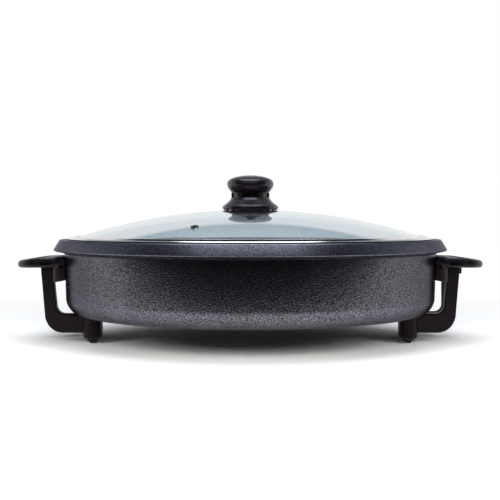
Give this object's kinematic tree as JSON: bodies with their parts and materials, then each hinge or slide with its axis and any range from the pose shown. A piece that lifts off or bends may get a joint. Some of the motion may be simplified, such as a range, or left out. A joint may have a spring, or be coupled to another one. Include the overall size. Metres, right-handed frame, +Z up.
{
  "type": "electric pizza maker",
  "caption": "Round electric pizza pan on legs with a dark cast body, two loop handles, a heater under its floor and a domed glass lid that lifts off by its knob.",
  "frame": {"origin": "centre of the footprint on the table, under the pan's axis", "axes": "+Z up, +X towards the handle with the socket, -Y towards the side that the picture shows"},
  "size_m": [0.503, 0.4226, 0.1798],
  "materials": {
    "cast_pan": "dark grey hammertone coating on cast aluminium, smooth on the rim",
    "handle_plastic": "moulded black heat-resistant plastic, satin",
    "knob_plastic": "moulded black heat-resistant plastic, semi-gloss",
    "lid_glass": "clear tempered glass",
    "lid_steel": "rolled stainless steel, polished",
    "plated_steel": "zinc or nickel plated steel",
    "black_steel": "steel with a black oxide finish",
    "heater_steel": "heat-tinted steel sheath",
    "ceramic": "unglazed steatite",
    "brass_insert": "machined brass",
    "foot_rubber": "black moulded rubber",
    "silicone": "translucent grey silicone"
  },
  "bodies": {
    "pan": {"pan_body": "cast_pan", "heating_element": "heater_steel", "heater_end_seal_front": "ceramic", "heater_end_seal_rear": "ceramic", "terminal_pin_front": "plated_steel", "terminal_pin_rear": "plated_steel", "terminal_block": "ceramic", "socket_shroud": "handle_plastic", "probe_guide": "plated_steel", "earth_contact": "plated_steel", "left_handle": "handle_plastic", "right_handle": "handle_plastic", "left_front_leg": "handle_plastic", "left_rear_leg": "handle_plastic", "right_front_leg": "handle_plastic", "right_rear_leg": "handle_plastic", "left_front_foot_tip": "foot_rubber", "left_rear_foot_tip": "foot_rubber", "right_front_foot_tip": "foot_rubber", "right_rear_foot_tip": "foot_rubber", "leg_screw_left_front": "plated_steel", "leg_screw_left_rear": "plated_steel", "leg_screw_right_front": "plated_steel", "leg_screw_right_rear": "plated_steel", "handle_screw_left_front": "black_steel", "handle_screw_left_rear": "black_steel", "handle_screw_right_front": "black_steel", "handle_screw_right_rear": "black_steel"},
    "lid": {"glass_lid": "lid_glass", "lid_rim_band": "lid_steel", "vent_grommet": "foot_rubber", "knob_base": "knob_plastic", "knob_cap": "knob_plastic", "knob_insert": "brass_insert", "knob_screw": "plated_steel", "knob_washer": "plated_steel", "knob_gasket_lower": "silicone", "knob_gasket_upper": "foot_rubber"}
  },
  "joints": [
    {"name": "lid_lift", "type": "slide", "parent": "pan", "child": "lid", "axis": [0, 0, 1], "range_m": [0, 0.15]}
  ]
}
